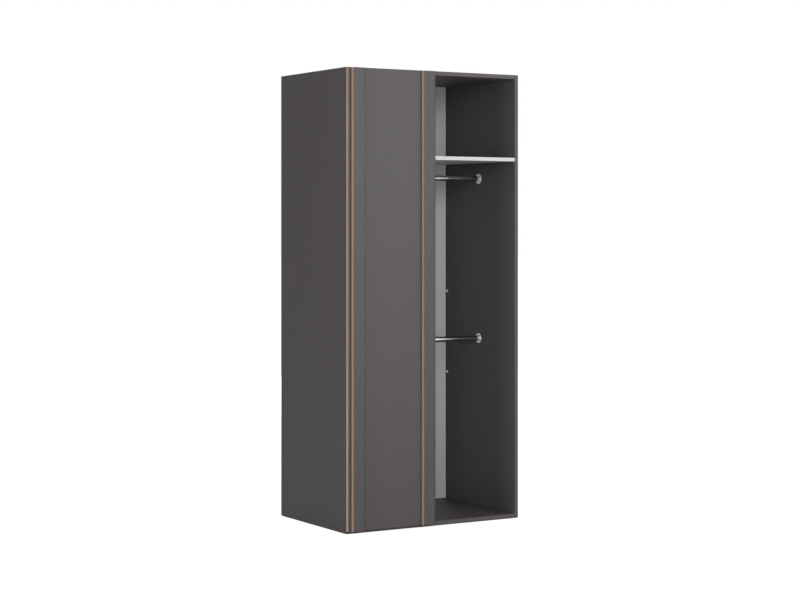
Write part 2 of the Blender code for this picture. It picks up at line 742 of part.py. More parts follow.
def arm_cheek_from():
    """How far from the hinge's middle the arm's cheeks start."""
    return INNER_LINK_HEIGHT / 2 + LINK_GAP + LINK_CHEEK + LINK_GAP


def arm_mesh():
    """The pressed arm: a channel open towards the panel, cranked out to the two link pivots."""
    inner = arm_cheek_from()
    outer = inner + ARM_CHEEK
    foot = PLATE_WING + 2 * FIT
    turn = atan2(OUTER_ARM_PIVOT[1] - INNER_ARM_PIVOT[1], OUTER_ARM_PIVOT[0] - INNER_ARM_PIVOT[0]) - pi / 2
    nose = arc(OUTER_ARM_PIVOT, ARM_EYE_RADIUS, turn, -pi / 4, 5)
    outline = [(foot, ARM_LENGTH), (foot, ARM_STEP_REAR * 0.8),
               *arc(INNER_ARM_PIVOT, ARM_EYE_RADIUS, -pi, turn, 2), *nose,
               (ARM_NOSE + ARM_CHEEK, nose[-1][1]), (ARM_NOSE + ARM_CHEEK, ARM_NOSE_REAR + ARM_CHEEK / 4),
               (ARM_STEP[0] + ARM_CHEEK * 0.9, ARM_STEP[1] + ARM_CHEEK * 0.7),
               (ARM_FLOOR + ARM_CHEEK, ARM_STEP_REAR + ARM_CHEEK / 2), (ARM_FLOOR + ARM_CHEEK, ARM_LENGTH)]
    hollow = [(foot - OVERCUT, ARM_LENGTH + OVERCUT), (foot - OVERCUT, -OVERCUT), (ARM_NOSE, -OVERCUT),
              (ARM_NOSE, ARM_NOSE_REAR), ARM_STEP, (ARM_FLOOR, ARM_STEP_REAR),
              (ARM_FLOOR, ARM_LENGTH + OVERCUT)]
    reach = outer + PIN_HEAD
    pins = [((*pivot, -reach), (*pivot, reach), PIN_DIAMETER / 2)
            for pivot in (INNER_ARM_PIVOT, OUTER_ARM_PIVOT)]
    screw_hole = SCREW_SHANK_DIAMETER / 2 + HOLE_PLAY
    holes = [((ARM_FLOOR - OVERCUT, setback, 0), (ARM_FLOOR + ARM_CHEEK + OVERCUT, setback, 0), screw_hole)
              for setback in ADJUSTER_SETBACKS]
    body = outline_mesh([outline], -outer, outer)
    return baked(body, [("DIFFERENCE", outline_mesh([hollow], -inner, inner)),
                        ("DIFFERENCE", rods_mesh(holes, COARSE)), ("UNION", rods_mesh(pins, COARSE))])


def plate_mesh():
    """The mounting plate: a winged foot on the panel and a block under the arm."""
    half = PLATE_SCREW_SPACING / 2
    hole = SCREW_SHANK_DIAMETER / 2 + HOLE_PLAY
    wing = bar_mesh((-half, 0), (half, 0), PLATE_WING_RADIUS, FIT, FIT + PLATE_WING)
    wing.transform(Matrix.Translation((0, PLATE_SCREW_SETBACK, 0)) @ Matrix.Rotation(-pi / 2, 4, "Y")
                   @ Matrix.Scale(-1, 4, (0, 0, 1)))
    wing.flip_normals()
    half_block = arm_cheek_from() - LINK_GAP
    block = block_mesh((FIT + PLATE_WING / 2, PLATE_FRONT, -half_block),
                       (ARM_FLOOR - FIT, ARM_LENGTH, half_block))
    face = PLATE_WING + OVERCUT
    floor = ARM_FLOOR + ARM_CHEEK - ADJUSTER_LENGTH
    holes = [((-OVERCUT, PLATE_SCREW_SETBACK, shift), (face, PLATE_SCREW_SETBACK, shift), hole)
             for shift in (-half, half)]
    holes += [((floor, setback, 0), (ARM_FLOOR + OVERCUT, setback, 0), hole)
              for setback in ADJUSTER_SETBACKS]
    return baked(wing, [("UNION", block), ("DIFFERENCE", rods_mesh(holes, COARSE))])


def cup_mesh():
    """The cup, its rim and its ear plate, with the mouth towards +Y and the door's back at zero."""
    radius = CUP_DIAMETER / 2
    rim = radius + CUP_RIM_WIDTH
    profile = [(0, CUP_RIM), (rim, CUP_RIM), (rim, GLUE), (radius, GLUE), (radius, CUP_WALL - CUP_DEPTH),
               (radius - CUP_WALL, -CUP_DEPTH), (0, -CUP_DEPTH)]
    ears = CUP_EAR_SPACING / 2
    ear_plate = bar_mesh((CUP_EAR_REACH, -ears), (CUP_EAR_REACH, ears), CUP_EAR_RADIUS, GLUE, CUP_EAR)
    cavity = rods_mesh([((0, 0, CUP_WALL - CUP_DEPTH), (0, 0, CUP_RIM + OVERCUT), radius - CUP_WALL)], FINE)
    hole = SCREW_SHANK_DIAMETER / 2 + HOLE_PLAY
    holes = rods_mesh([((CUP_EAR_REACH, side, -OVERCUT), (CUP_EAR_REACH, side, OVERCUT), hole)
                       for side in (-ears, ears)], COARSE)
    pins = []
    for pivot in (INNER_CUP_PIVOT, OUTER_CUP_PIVOT):
        across = pivot[0] - CUP_CENTRE
        deep = pivot[1] + DOOR_GAP
        pins.append(((across, radius, deep), (across, -radius, deep), PIN_DIAMETER / 2))
    core = rods_mesh([((0, 0, -CUP_DEPTH), (0, 0, CUP_RIM + OVERCUT), radius - CUP_WALL / 2)], FINE)
    pins = baked(rods_mesh(pins, COARSE), [("INTERSECT", core)])
    cup = baked(turned_mesh(profile, FINE), [("UNION", ear_plate), ("DIFFERENCE", cavity),
                                             ("DIFFERENCE", holes), ("UNION", pins)])
    cup.transform(Matrix.Rotation(-pi / 2, 4, "X"))
    return cup


def carried_by(pivot, pieces):
    """Hangs pieces on a pivot without moving them."""
    bpy.context.view_layer.update()
    for piece in pieces:
        piece.parent = pivot
        piece.matrix_parent_inverse = pivot.matrix_world.inverted()


def pivot_empty(name, plan):
    """An empty on a hinge axis."""
    pivot = bpy.data.objects.new(name, None)
    pivot.empty_display_size = 0.02
    pivot.location = (INNER_LEFT + plan[0], FRONT + plan[1], 0)
    PARTS.objects.link(pivot)
    return pivot


def build_hinges():
    """The concealed hinges. Returns what rides on the door, on the inner links and on the outer links."""
    arm, plate, cup = arm_mesh(), plate_mesh(), cup_mesh()
    inner_link, outer_link = inner_link_mesh(), outer_link_mesh()
    on_door, on_inner, on_outer = [], [], []
    for number, height in enumerate(hinge_heights(), 1):
        origin = Vector((INNER_LEFT, FRONT, height))
        for name, mesh, group in (("arm", arm, []), ("mounting_plate", plate, []),
                                  ("inner_link", inner_link, on_inner),
                                  ("outer_link", outer_link, on_outer)):
            piece = add_piece(f"hinge_{name}_{number}", mesh.copy(), "nickel", True)
            piece.location = origin
            group.append(piece)
        piece = add_piece(f"hinge_cup_{number}", cup.copy(), "nickel", True)
        piece.location = origin + Vector((CUP_CENTRE, DOOR_BACK - FRONT, 0))
        on_door.append(piece)
    return on_door, on_inner, on_outer


def edge_bands(prefix, left, right, low, high):
    """The two upright edge bands of one door board."""
    return [add_piece(f"{prefix}_{side}", block_mesh((start, *low), (start + DOOR_BAND, *high)), "copper")
            for side, start in (("left", left), ("right", right - DOOR_BAND))]


def build_door():
    """The door's base board with its cup housings, two raised laths, and the edge bands of all three."""
    band = DOOR_BAND + GLUE
    panel = board("door_panel", (LEFT + band, DOOR_FACE, DOOR_BOTTOM),
                  (DOOR_RIGHT - band, DOOR_BACK, DOOR_TOP), "graphite")
    tools = bmesh.new()
    for height in hinge_heights():
        across = INNER_LEFT + CUP_CENTRE
        add_rod(tools, (across, DOOR_BACK + OVERCUT, height), (across, DOOR_BACK - CUP_DEPTH - FIT, height),
                CUP_DIAMETER / 2 + HOLE_PLAY, FINE)
    for place in cup_screw_places():
        add_rod(tools, *hole_for(place, SCREW_LENGTH + FIT, SCREW_SHANK_DIAMETER / 2 + HOLE_PLAY), COARSE)
    cut(panel, mesh_from(tools), "housings")
    pieces = [panel, bpy.data.objects["door_panel_housings"]]
    pieces += edge_bands("door_edge_band", LEFT, DOOR_RIGHT, (DOOR_FACE, DOOR_BOTTOM), (DOOR_BACK, DOOR_TOP))
    lefts = {"left": LEFT + LATH_INSET, "right": DOOR_RIGHT - LATH_INSET - LATH_WIDTH}
    for side, left in lefts.items():
        right = left + LATH_WIDTH
        pieces.append(board(f"door_lath_{side}", (left + band, LATH_FACE, DOOR_BOTTOM),
                            (right - band, DOOR_FACE - GLUE, DOOR_TOP), "graphite"))
        pieces += edge_bands(f"lath_{side}_edge_band", left, right, (LATH_FACE, DOOR_BOTTOM),
                             (DOOR_FACE - GLUE, DOOR_TOP))
    return pieces


build_carcass()
build_back()
build_rods()
build_corner_pins()
build_glides()
build_bumpers()
hinge_on_door, inner_links, outer_links = build_hinges()
carried_by(pivot_empty("door_pivot", INNER_CUP_PIVOT), build_door() + hinge_on_door)
carried_by(pivot_empty("inner_link_pivot", INNER_ARM_PIVOT), inner_links)
carried_by(pivot_empty("outer_link_pivot", OUTER_ARM_PIVOT), outer_links)
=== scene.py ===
"""Corner wardrobe, dressed: surfaces, turned metal, small fasteners, studio light and the camera.

Metres, +Z up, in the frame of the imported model. The wardrobe stands on the floor at zero height
and faces -Y.
"""

from math import atan2, cos, pi, radians, sin

import bmesh
import bpy
from mathutils import Matrix, Vector


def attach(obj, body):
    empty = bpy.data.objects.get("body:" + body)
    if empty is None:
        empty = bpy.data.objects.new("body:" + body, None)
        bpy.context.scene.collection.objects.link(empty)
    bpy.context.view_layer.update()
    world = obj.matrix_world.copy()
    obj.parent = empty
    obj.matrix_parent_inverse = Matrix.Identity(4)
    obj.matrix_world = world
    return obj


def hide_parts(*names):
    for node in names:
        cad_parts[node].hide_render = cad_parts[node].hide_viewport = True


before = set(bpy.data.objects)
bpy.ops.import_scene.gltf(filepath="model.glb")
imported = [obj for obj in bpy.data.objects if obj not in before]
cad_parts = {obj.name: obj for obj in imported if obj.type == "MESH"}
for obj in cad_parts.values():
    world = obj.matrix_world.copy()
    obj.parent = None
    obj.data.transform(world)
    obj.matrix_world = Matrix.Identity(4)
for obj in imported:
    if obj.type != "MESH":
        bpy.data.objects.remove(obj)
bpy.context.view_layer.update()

# Sizes of the wardrobe that the pieces here are placed by
HALF_WIDTH = 0.445
BOARD = 0.018
SHELF_BOARD = 0.016
HEIGHT = 2.000
UNDERSIDE = 0.002
FRONT = -0.284
REAR = 0.322
DOOR_BACK = -0.286
SHELF_TOP = 1.6265
INNER_SIDE = HALF_WIDTH - BOARD
INNER_LEFT = -INNER_SIDE
SIDES = (("left", -1), ("right", 1))

# Clothes rods, and the flanges whose sockets hold them
ROD_MIDDLE = FRONT + 0.295
ROD_HEIGHTS = {"upper": 1.538, "lower": 0.798}
ROD_RADIUS = 0.0125
ROD_WALL = 0.0012
ROD_SIDES = 96
ROD_PLAY = 0.0006
FLANGE_RADIUS = 0.0230
FLANGE_PLATE = 0.0030
FLANGE_SIDES = 72
FLANGE_GAP = 0.0003
FLANGE_FACE = 0.0033
SOCKET_RADIUS = 0.0160
SOCKET_DEPTH = 0.0120
FLANGE_SCREWS = 3
FLANGE_SCREW_CIRCLE = 0.0195
FLANGE_HOLE_RADIUS = 0.0019
FLANGE_HOLE_SIDES = 24
FLANGE_HOLE_DEPTH = 0.02

# Corner pins, each with a collar against the side panel and a spigot in it
PIN_HEIGHTS = {"lower": 0.625, "upper": 1.009}
PIN_MIDDLE = 0.284
PIN_LENGTH = 0.0210
PIN_RADIUS = 0.0040
PIN_SIDES = 48
COLLAR_RADIUS = 0.0065
COLLAR_TOP = 0.0020
COLLAR_FOOT = 0.0003
SPIGOT_RADIUS = 0.0025
SPIGOT_LENGTH = 0.010

# Cams, sunk a little below the faces of their boards
CAM_RADIUS = 0.0073
CAM_SIDES = 28
CAM_CAP = 0.0030
CAM_SINK = 0.0003
CAM_SKIRT = 0.0095
CAM_SKIRT_INSIDE = CAM_RADIUS * 0.66
CAM_SKIRT_STEPS = 18
CAM_OPENING = radians(38)
CAM_DISTANCE = 0.034
CAM_SETBACKS = {"front": 0.060, "rear": 0.530}

# Screws: head radius, head height, shank radius and length
FLANGE_SCREW = (0.0028, 0.0019, 0.0014, 0.0115)
HINGE_SCREW = (0.0030, 0.0020, 0.0015, 0.0115)
ADJUSTER = (0.0026, 0.0014, 0.0014, 0.0072)
SCREW_SIDES = 20
THREAD_PITCH = 0.0011
THREAD_RISE = 0.0004
SCREW_TIP = 0.0003
SCREW_SEAT = 0.0001

# Where the screws of the hinges sit
HINGE_HEIGHTS = (0.112, 0.707, 1.302, 1.897)
PLATE_FACE = 0.0028
PLATE_SCREW_SETBACK = 0.037
PLATE_SCREW_SHIFT = 0.016
CUP_FACE = 0.0007
CUP_SCREW_ACROSS = 0.014
CUP_SCREW_SHIFT = 0.0225
ARM_FACE = 0.0114
ADJUSTER_SETBACKS = {"front": 0.042, "rear": 0.053}

# Edges of turned pieces sharper than this stay crisp
CRISP_ANGLE = radians(32)

# The photograph's view
CAMERA_PLACE = (-4.372, -7.314, 1.318)
CAMERA_TURN = radians(-30.83)
CAMERA_LENS = 84.68
CAMERA_SENSOR = 36.0
CAMERA_SHIFT_Y = -0.0929

# The floor, and how much the camera sees it lightened near the wardrobe and far out
FLOOR_SIZE = 60.0
FLOOR_COLOR = (0.74, 0.74, 0.74, 1.0)
FLOOR_LIFT_NEAR = 0.76
FLOOR_LIFT_FAR = 0.95
FLOOR_LIFT_REACH = (1.0, 5.0)
FOOTPRINT_FADE = 0.001

# Studio light: place, target, size and power of each lamp
WORLD_STRENGTH = 0.182
WHITE = (1.0, 1.0, 1.0, 1.0)
SOFTBOXES = {
    "key": ((3.4, -4.2, 3.0), (0.0, -0.3, 1.2), 3.0, 70.0),
    "front_right": ((2.0, -5.8, 1.8), (0.0, -0.3, 1.1), 2.0, 106.0),
    "front": ((0.2, -6.0, 3.2), (0.0, -0.3, 1.2), 1.6, 50.0),
    "front_left": ((-6.5, -9.0, 2.2), (0.0, -0.3, 1.0), 4.0, 434.0),
    "side_left": ((-6.0, -1.5, 2.0), (0.0, 0.0, 1.0), 2.5, 148.0),
    "rear": ((1.2, 7.5, 2.4), (0.0, 0.3, 1.0), 4.0, 240.0),
    "side_right": ((6.5, 1.5, 2.2), (0.0, 0.0, 1.0), 3.0, 60.0),
}


def linear(value):
    """Turns an 8-bit screen value into scene light, by the sRGB curve."""
    share = value / 255
    return share / 12.92 if share <= 0.04045 else ((share + 0.055) / 1.055) ** 2.4


def rgb(red, green, blue):
    """A colour from 8-bit screen values."""
    return (linear(red), linear(green), linear(blue), 1.0)


# Nodes that the groups and the materials are made of

def new_group(name, inputs, outputs):
    """Starts a node group with named sockets, and returns it with its input and output nodes."""
    group = bpy.data.node_groups.new(name, "ShaderNodeTree")
    for label, kind, value in inputs:
        socket = group.interface.new_socket(name=label, in_out="INPUT", socket_type=kind)
        socket.default_value = value
    for label, kind in outputs:
        group.interface.new_socket(name=label, in_out="OUTPUT", socket_type=kind)
    start = group.nodes.new("NodeGroupInput")
    end = group.nodes.new("NodeGroupOutput")
    start.location = (-1200, 0)
    end.location = (900, 0)
    return group, start, end


def connect(tree, value, socket):
    """Gives a socket a value, which is another socket, a number or a colour."""
    if isinstance(value, bpy.types.NodeSocket):
        tree.links.new(value, socket)
    else:
        socket.default_value = value


def stretched_noise(tree, stretch, detail, roughness, place):
    """Noise in object coordinates, scaled for each axis."""
    across, up = place
    coordinates = tree.nodes.new("ShaderNodeTexCoord")
    coordinates.location = (across - 450, up)
    mapping = tree.nodes.new("ShaderNodeMapping")
    mapping.location = (across - 250, up)
    mapping.inputs["Scale"].default_value = stretch
    tree.links.new(coordinates.outputs["Object"], mapping.inputs["Vector"])
    texture = tree.nodes.new("ShaderNodeTexNoise")
    texture.location = place
    texture.inputs["Scale"].default_value = 1.0
    texture.inputs["Detail"].default_value = detail
    texture.inputs["Roughness"].default_value = roughness
    tree.links.new(mapping.outputs["Vector"], texture.inputs["Vector"])
    return texture.outputs["Fac"]


def spread(tree, value, source, result, place):
    """Maps a value from one (low, high) range to another, held at the ends."""
    node = tree.nodes.new("ShaderNodeMapRange")
    node.location = place
    node.inputs["From Min"].default_value, node.inputs["From Max"].default_value = source
    node.inputs["To Min"].default_value, node.inputs["To Max"].default_value = result
    tree.links.new(value, node.inputs["Value"])
    return node.outputs["Result"]


def maths(tree, operation, first, second, place):
    """A sum, product or other operation on two values, each a socket or a number."""
    node = tree.nodes.new("ShaderNodeMath")
    node.operation = operation
    node.location = place
    connect(tree, first, node.inputs[0])
    connect(tree, second, node.inputs[1])
    return node.outputs[0]


def mixed_color(tree, factor, first, second, place):
    """A mix of two colours, each a socket or a colour."""
    mix = tree.nodes.new("ShaderNodeMix")
    mix.data_type = "RGBA"
    mix.location = place
    tree.links.new(factor, mix.inputs["Factor"])
    sockets = [socket for socket in mix.inputs if socket.type == "RGBA"]
    for socket, value in zip(sockets, (first, second)):
        connect(tree, value, socket)
    return next(socket for socket in mix.outputs if socket.type == "RGBA")


# Shared effects: node groups that give out colours, values and normals only

def start_effect(name):
    """Starts a group that makes colour, roughness and normal from two colours and a roughness."""
    return new_group(
        name,
        [("Dark", "NodeSocketColor", (0.4, 0.4, 0.4, 1.0)),
         ("Light", "NodeSocketColor", (0.6, 0.6, 0.6, 1.0)),
         ("Roughness", "NodeSocketFloat", 0.5)],
        [("Color", "NodeSocketColor"), ("Roughness", "NodeSocketFloat"),
         ("Normal", "NodeSocketVector")])


def end_effect(group, start, end, share, unevenness, height, strength, distance):
    """Ends such a group: colours mixed by a share, an uneven roughness and bumps by a height."""
    color = mixed_color(group, share, start.outputs["Dark"], start.outputs["Light"], (350, 200))
    rough = maths(group, "ADD", start.outputs["Roughness"], unevenness, (350, -100))
    bump = group.nodes.new("ShaderNodeBump")
    bump.location = (350, -350)
    bump.inputs["Strength"].default_value = strength
    bump.inputs["Distance"].default_value = distance
    group.links.new(height, bump.inputs["Height"])
    group.links.new(color, end.inputs["Color"])
    group.links.new(rough, end.inputs["Roughness"])
    group.links.new(bump.outputs["Normal"], end.inputs["Normal"])


def laminate_group(name, grain_stretch, pore_stretch):
    """Printed board: long soft grain, fine pores, and a slightly uneven pressed surface."""
    cloud_stretch = (3.0, 3.0, 1.1)
    grain_part, pore_part, cloud_part = 0.55, 0.30, 0.15
    group, start, end = start_effect(name)
    grain = stretched_noise(group, grain_stretch, 5.0, 0.6, (-650, 300))
    pores = stretched_noise(group, pore_stretch, 3.0, 0.55, (-650, -200))
    clouds = stretched_noise(group, cloud_stretch, 2.0, 0.5, (-650, -600))
    tone = maths(group, "MULTIPLY", grain, grain_part, (-400, 300))
    pore_tone = maths(group, "MULTIPLY", pores, pore_part, (-400, 0))
    cloud_tone = maths(group, "MULTIPLY", clouds, cloud_part, (-400, -400))
    both = maths(group, "ADD", tone, pore_tone, (-200, 200))
    mask = maths(group, "ADD", both, cloud_tone, (-50, 100))
    share = spread(group, mask, (0.36, 0.64), (0.0, 1.0), (100, 150))
    unevenness = spread(group, pores, (0.3, 0.7), (-0.05, 0.05), (100, -150))
    height = maths(group, "ADD", pores, grain, (100, -350))
    end_effect(group, start, end, share, unevenness, height, strength=0.06, distance=0.0004)
    return group


def metal_group(name, brush_stretch, strength):
    """Plated metal: fine marks along one way, faint stains, and a slightly uneven gloss."""
    stain_stretch = (40.0, 40.0, 40.0)
    group, start, end = start_effect(name)
    marks = stretched_noise(group, brush_stretch, 4.0, 0.6, (-650, 200))
    stains = stretched_noise(group, stain_stretch, 3.0, 0.5, (-650, -300))
    mask = maths(group, "ADD", marks, stains, (-400, 100))
    share = spread(group, mask, (0.7, 1.3), (0.0, 1.0), (-150, 150))
    unevenness = spread(group, stains, (0.3, 0.7), (-0.04, 0.06), (-150, -150))
    end_effect(group, start, end, share, unevenness, marks, strength, distance=0.0002)
    return group


def outer_face_group():
    """A mask: one on faces that look left, right or up, as chosen, and nought on the rest.

    It goes by the piece's own axes, so it holds while the door swings.
    """
    group, start, end = new_group(
        "outer_face",
        [(label, "NodeSocketFloat", 0.0) for label in ("Left", "Right", "Up")],
        [("Mask", "NodeSocketFloat")])
    geometry = group.nodes.new("ShaderNodeNewGeometry")
    own = group.nodes.new("ShaderNodeVectorTransform")
    own.vector_type = "NORMAL"
    own.convert_from = "WORLD"
    own.convert_to = "OBJECT"
    parts = group.nodes.new("ShaderNodeSeparateXYZ")
    group.links.new(geometry.outputs["True Normal"], own.inputs[0])
    group.links.new(own.outputs[0], parts.inputs[0])
    leftward = maths(group, "MULTIPLY", parts.outputs["X"], -1.0, (-400, 200))
    left = maths(group, "MULTIPLY", leftward, start.outputs["Left"], (-200, 200))
    right = maths(group, "MULTIPLY", parts.outputs["X"], start.outputs["Right"], (-200, 0))
    up = maths(group, "MULTIPLY", parts.outputs["Z"], start.outputs["Up"], (-200, -200))
    sideways = maths(group, "MAXIMUM", left, right, (0, 100))
    most = maths(group, "MAXIMUM", sideways, up, (150, 0))
    share = spread(group, most, (0.45, 0.55), (0.0, 1.0), (300, 100))
    group.links.new(share, end.inputs["Mask"])
    return group


UPRIGHT = laminate_group("upright_laminate", grain_stretch=(160.0, 160.0, 6.0),
                         pore_stretch=(1500.0, 1500.0, 900.0))
CROSSWISE = laminate_group("crosswise_laminate", grain_stretch=(6.0, 160.0, 160.0),
                           pore_stretch=(900.0, 1500.0, 1500.0))
BRUSHED = metal_group("plated_metal", brush_stretch=(900.0, 900.0, 120.0), strength=0.05)
DRAWN = metal_group("drawn_tube", brush_stretch=(30.0, 1600.0, 1600.0), strength=0.03)
MOULDED = metal_group("moulded_plastic", brush_stretch=(700.0, 700.0, 700.0), strength=0.10)
OUTER_FACE = outer_face_group()


# Materials

def shader_input(material, label):
    """An input of a material's shader."""
    return material.node_tree.nodes["Principled BSDF"].inputs[label]


def effect_node(tree, group, colors, roughness, place):
    """A group node with its (dark, light) colours and its roughness set."""
    effect = tree.nodes.new("ShaderNodeGroup")
    effect.node_tree = group
    effect.location = place
    effect.inputs["Dark"].default_value, effect.inputs["Light"].default_value = colors
    effect.inputs["Roughness"].default_value = roughness
    return effect


def surface(name, group, colors, roughness, metallic=0.0, specular=0.5):
    """A material that takes colour, roughness and normal from a group."""
    material = bpy.data.materials.new(name)
    material.use_nodes = True
    tree = material.node_tree
    effect = effect_node(tree, group, colors, roughness, (-300, 200))
    shader_input(material, "Metallic").default_value = metallic
    shader_input(material, "Specular IOR Level").default_value = specular
    for output, label in (("Color", "Base Color"), ("Roughness", "Roughness"),
                          ("Normal", "Normal")):
        tree.links.new(effect.outputs[output], shader_input(material, label))
    return material


def own_color(material):
    """The socket that gives a material its colour so far."""
    return shader_input(material, "Base Color").links[0].from_socket


def faces_mask(tree, sides, place):
    """The mask of the faces that look to the named sides."""
    mask = tree.nodes.new("ShaderNodeGroup")
    mask.node_tree = OUTER_FACE
    mask.location = place
    for label in ("Left", "Right", "Up"):
        mask.inputs[label].default_value = 1.0 if label in sides else 0.0
    return mask.outputs["Mask"]


def color_by_faces(material, mask, rest, chosen):
    """Colours a material one way on the masked faces and another way on the rest."""
    color = mixed_color(material.node_tree, mask, rest, chosen, (-100, 300))
    material.node_tree.links.new(color, shader_input(material, "Base Color"))


def band_surface(name, side, colors, core, roughness, metallic):
    """An edge band: printed on its outer face, with its core on the trimmed rims and behind."""
    material = surface(name, UPRIGHT, colors, roughness)
    tree = material.node_tree
    mask = faces_mask(tree, (side,), (-300, -200))
    color_by_faces(material, mask, core, own_color(material))
    shine = maths(tree, "MULTIPLY", mask, metallic, (-100, -200))
    tree.links.new(shine, shader_input(material, "Metallic"))
    return material


def shelf_with_painted_shade(name, under, top, roughness):
    """A shelf: white above, with painted shade under it, a greyer colour on the faces that do not
    look up.
    """
    material = surface(name, CROSSWISE, under, roughness)
    tree = material.node_tree
    above = effect_node(tree, CROSSWISE, top, roughness, (-500, 500))
    mask = faces_mask(tree, ("Up",), (-500, -200))
    color_by_faces(material, mask, own_color(material), above.outputs["Color"])
    return material


def satin_face(material, share):
    """Gives the faces that look sideways a satin coat, and leaves the rest bright metal."""
    tree = material.node_tree
    mask = faces_mask(tree, ("Left", "Right"), (-500, -200))
    coated = maths(tree, "MULTIPLY", mask, share, (-300, -200))
    bare = maths(tree, "SUBTRACT", 1.0, coated, (-100, -200))
    tree.links.new(bare, shader_input(material, "Metallic"))


GRAPHITE = surface("graphite_upright", UPRIGHT, (rgb(71, 67, 68), rgb(75, 71, 72)),
                   roughness=0.50, specular=0.30)
GRAPHITE_CROSS = surface("graphite_crosswise", CROSSWISE, (rgb(75, 70, 71), rgb(79, 74, 75)),
                         roughness=0.50, specular=0.30)
COPPER_LEFT, COPPER_RIGHT = (
    band_surface(f"copper_band_{side.lower()}", side, (rgb(171, 141, 120), rgb(185, 155, 134)),
                 core=rgb(66, 62, 62), roughness=0.40, metallic=0.20) for side in ("Left", "Right"))
WHITE_BACK = surface("white_back", UPRIGHT, (rgb(238, 236, 234), rgb(243, 241, 239)),
                     roughness=0.55)
# The shelf's greyer underside is painted shade: one board coloured lighter on top than below.
WHITE_SHELF = shelf_with_painted_shade("white_shelf", under=(rgb(164, 163, 162), rgb(170, 169, 168)),
                            top=(rgb(224, 223, 222), rgb(230, 229, 228)), roughness=0.50)
WHITE_EDGE = surface("white_edge", CROSSWISE, (rgb(185, 183, 183), rgb(191, 189, 189)),
                     roughness=0.45)
CHROME = surface("chrome_tube", DRAWN, (rgb(182, 183, 186), rgb(198, 199, 202)),
                 roughness=0.14, metallic=1.0)
CHROME_FLANGE = surface("chrome_flange", BRUSHED, (rgb(236, 237, 239), rgb(246, 247, 248)),
                        roughness=0.30, metallic=1.0)
satin_face(CHROME_FLANGE, share=0.85)
PIN = surface("pin_plate", BRUSHED, (rgb(240, 240, 238), rgb(246, 246, 244)), roughness=0.30)
NICKEL = surface("nickel_plate", BRUSHED, (rgb(182, 180, 176), rgb(202, 200, 196)),
                 roughness=0.32, metallic=0.85)
ZINC = surface("zinc_casting", BRUSHED, (rgb(140, 140, 142), rgb(166, 166, 168)),
               roughness=0.38, metallic=1.0)
BUMPER = surface("soft_bumper", MOULDED, (rgb(190, 192, 194), rgb(206, 208, 210)), roughness=0.35)
GLIDE = surface("grey_glide", MOULDED, (rgb(88, 88, 90), rgb(102, 102, 104)), roughness=0.50)

FINISHES = {
    "top_panel": GRAPHITE_CROSS, "bottom_panel": GRAPHITE_CROSS,
    "shelf": WHITE_SHELF, "shelf_edge_band": WHITE_EDGE,
    "back_panel": WHITE_BACK, "back_joint": WHITE_BACK,
    "clothes_rod": CHROME, "rod_flange": CHROME_FLANGE, "corner_pin": PIN,
    "hinge": NICKEL, "door_bumper": BUMPER, "floor_glide": GLIDE,
    "edge_band_left": COPPER_LEFT, "edge_band_right": COPPER_RIGHT,
    "side_panel": GRAPHITE, "door_panel": GRAPHITE, "door_lath": GRAPHITE,
}


def finish_for(name):
    """The surface of a node: its own in the table, or the first whose name its name holds."""
    if name in FINISHES:
        return FINISHES[name]
    return next(material for part, material in FINISHES.items() if part in name)


for name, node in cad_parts.items():
    node.data.materials.clear()
    node.data.materials.append(finish_for(name))


# Meshes of the turned metal parts and small fasteners

def mesh_from(shape, name):
    """Ends a bmesh and returns it as a mesh."""
    mesh = bpy.data.meshes.new(name)
    shape.to_mesh(mesh)
    shape.free()
    return mesh


def ring(shape, radius, height, sides):
    """Points in a ring about Z, or one point on the axis where the radius is nought."""
    if radius == 0:
        return [shape.verts.new((0, 0, height))]
    return [shape.verts.new((radius * cos(2 * pi * step / sides),
                             radius * sin(2 * pi * step / sides), height))
            for step in range(sides)]


def bridge(shape, loops, sides):
    """Faces between each loop of points and the next. A loop of one point makes a tip."""
    for first, second in zip(loops, loops[1:]):
        for step in range(sides):
            after = (step + 1) % sides
            corners = (first[step % len(first)], first[after % len(first)],
                       second[after % len(second)], second[step % len(second)])
            shape.faces.new(list(dict.fromkeys(corners)))


def turned(profile, sides, name):
    """A solid of revolution about +Z, from a profile of (radius, height) from axis to axis."""
    shape = bmesh.new()
    bridge(shape, [ring(shape, radius, height, sides) for radius, height in profile], sides)
    bmesh.ops.recalc_face_normals(shape, faces=shape.faces)
    return mesh_from(shape, name)


def recess(reach, width, depth, top):
    """A cross recess for a driver, as a cutter that stands a little proud of the top."""
    proud = 0.0005
    shape = bmesh.new()
    for turn in (0.0, pi / 2):
        place = (Matrix.Rotation(turn, 4, "Z")
                 @ Matrix.Translation((0, 0, top - depth / 2 + proud)))
        size = Matrix.Diagonal((reach * 2, width, depth + 2 * proud, 1.0))
        bmesh.ops.create_cube(shape, size=1.0, matrix=place @ size)
    return mesh_from(shape, "recess")


def baked(mesh, cutter):
    """The mesh with a cutter taken out of it."""
    holder = bpy.data.objects.new("holder", mesh)
    tool = bpy.data.objects.new("tool", cutter)
    for item in (holder, tool):
        bpy.context.scene.collection.objects.link(item)
    step = holder.modifiers.new("cut", "BOOLEAN")
    step.operation = "DIFFERENCE"
    step.solver = "EXACT"
    step.use_self = True
    step.object = tool
    bpy.context.view_layer.update()
    graph = bpy.context.evaluated_depsgraph_get()
    result = bpy.data.meshes.new_from_object(holder.evaluated_get(graph))
    for item in (holder, tool):
        bpy.data.objects.remove(item, do_unlink=True)
    return result


